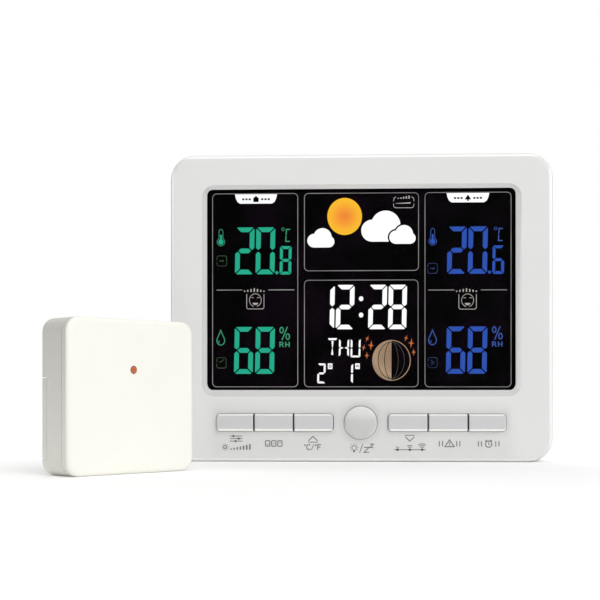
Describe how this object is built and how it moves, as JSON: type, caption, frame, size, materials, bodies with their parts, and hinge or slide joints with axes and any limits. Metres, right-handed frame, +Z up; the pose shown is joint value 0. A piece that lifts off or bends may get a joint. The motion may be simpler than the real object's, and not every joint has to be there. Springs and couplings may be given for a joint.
{
  "type": "home weather station",
  "caption": "Upright desk console with a colour segment display and a row of keys, fold-out rear stand, and a square wireless outdoor sensor.",
  "frame": {"origin": "on the table, under the middle of the console's flat base", "axes": "+X to the right along the console's face, +Y from its face to its back, +Z up"},
  "size_m": [0.2095, 0.1819, 0.141],
  "materials": {
    "housing": "fine satin texture, light grey-white ABS",
    "key": "smooth satin ABS",
    "sensor_housing": "satin warm-white ABS",
    "window": "clear acrylic sheet",
    "lcd": "black display glass",
    "display_green": "lit green segments",
    "display_blue": "lit blue segments",
    "display_white": "lit white segments",
    "display_amber": "lit amber segments",
    "display_line": "grey lines round the display's fields",
    "print": "grey printed key symbols",
    "light_guide": "milky acrylic",
    "board": "green solder mask",
    "black_plastic": "moulded black",
    "grey_plastic": "moulded grey",
    "rubber": "soft dark rubber",
    "steel": "nickel-plated steel",
    "wire": "enamelled copper wire",
    "cell_jacket": "plain printed jacket on a steel can",
    "led_lens": "diffused orange-red light guide"
  },
  "bodies": {
    "console": {"front_bezel": "housing", "display_window": "window", "lcd_panel": "lcd", "backlight_guide": "light_guide", "backlight_led_strip": "board", "elastomer_strip": "rubber", "display_retainer": "grey_plastic", "switch_set": "black_plastic", "switch_memory": "black_plastic", "switch_up": "black_plastic", "switch_snooze": "black_plastic", "switch_down": "black_plastic", "switch_alert": "black_plastic", "switch_alarm": "black_plastic", "main_board": "board", "controller_chip": "black_plastic", "radio_receiver": "board", "radio_antenna": "wire", "climate_sensor": "grey_plastic", "buzzer": "black_plastic", "dc_jack": "black_plastic", "rear_cover": "housing", "battery_1": "cell_jacket", "battery_2": "cell_jacket", "battery_3": "cell_jacket", "battery_contact_left": "steel", "battery_contact_right": "steel", "cover_screw_1": "steel", "cover_screw_2": "steel", "cover_screw_3": "steel", "cover_screw_4": "steel"},
    "set_key": {"key_set": "key"},
    "memory_key": {"key_memory": "key"},
    "up_key": {"key_up": "key"},
    "snooze_key": {"key_snooze": "key"},
    "down_key": {"key_down": "key"},
    "alert_key": {"key_alert": "key"},
    "alarm_key": {"key_alarm": "key"},
    "battery_cover": {"battery_door": "housing"},
    "stand": {"table_stand": "housing", "stand_pad_1": "rubber", "stand_pad_2": "rubber"},
    "outdoor_sensor": {"sensor_front_shell": "sensor_housing", "sensor_rear_shell": "sensor_housing", "sensor_led_lens": "led_lens", "sensor_board": "board", "sensor_probe": "black_plastic", "sensor_battery_1": "cell_jacket", "sensor_battery_2": "cell_jacket", "sensor_contact_bridge": "steel", "sensor_contact_plus": "steel", "sensor_contact_minus": "steel", "sensor_screw_1": "steel", "sensor_screw_2": "steel"},
    "sensor_cover": {"sensor_battery_door": "sensor_housing"},
    "reset_button": {"sensor_reset_button": "rubber"},
    "channel_slider": {"sensor_channel_slider": "black_plastic"}
  },
  "joints": [
    {"name": "set_press", "type": "slide", "parent": "console", "child": "set_key", "axis": [0, 1, 0], "range_m": [0, 0.0006], "stiffness_N_per_m": 800},
    {"name": "memory_press", "type": "slide", "parent": "console", "child": "memory_key", "axis": [0, 1, 0], "range_m": [0, 0.0006], "stiffness_N_per_m": 800},
    {"name": "up_press", "type": "slide", "parent": "console", "child": "up_key", "axis": [0, 1, 0], "range_m": [0, 0.0006], "stiffness_N_per_m": 800},
    {"name": "snooze_press", "type": "slide", "parent": "console", "child": "snooze_key", "axis": [0, 1, 0], "range_m": [0, 0.0006], "stiffness_N_per_m": 800},
    {"name": "down_press", "type": "slide", "parent": "console", "child": "down_key", "axis": [0, 1, 0], "range_m": [0, 0.0006], "stiffness_N_per_m": 800},
    {"name": "alert_press", "type": "slide", "parent": "console", "child": "alert_key", "axis": [0, 1, 0], "range_m": [0, 0.0006], "stiffness_N_per_m": 800},
    {"name": "alarm_press", "type": "slide", "parent": "console", "child": "alarm_key", "axis": [0, 1, 0], "range_m": [0, 0.0006], "stiffness_N_per_m": 800},
    {"name": "battery_door_pull", "type": "slide", "parent": "console", "child": "battery_cover", "axis": [0, 1, 0], "range_m": [0, 0.03]},
    {"name": "stand_fold", "type": "hinge", "parent": "console", "child": "stand", "pos_m": [0, 0.0112, 0.0022], "axis": [1, 0, 0], "range_deg": [0, 90]},
    {"name": "sensor_lift", "type": "slide", "parent": "console", "child": "outdoor_sensor", "axis": [0, 0, 1], "range_m": [0, 0.12]},
    {"name": "sensor_door_pull", "type": "slide", "parent": "outdoor_sensor", "child": "sensor_cover", "axis": [-0.7302, 0.6833, 0], "range_m": [0, 0.025]},
    {"name": "reset_press", "type": "slide", "parent": "outdoor_sensor", "child": "reset_button", "axis": [0.7302, -0.6833, 0], "range_m": [0, 0.0003], "stiffness_N_per_m": 300},
    {"name": "channel_slide", "type": "slide", "parent": "outdoor_sensor", "child": "channel_slider", "axis": [0.6833, 0.7302, 0], "range_m": [0, 0.004]}
  ]
}
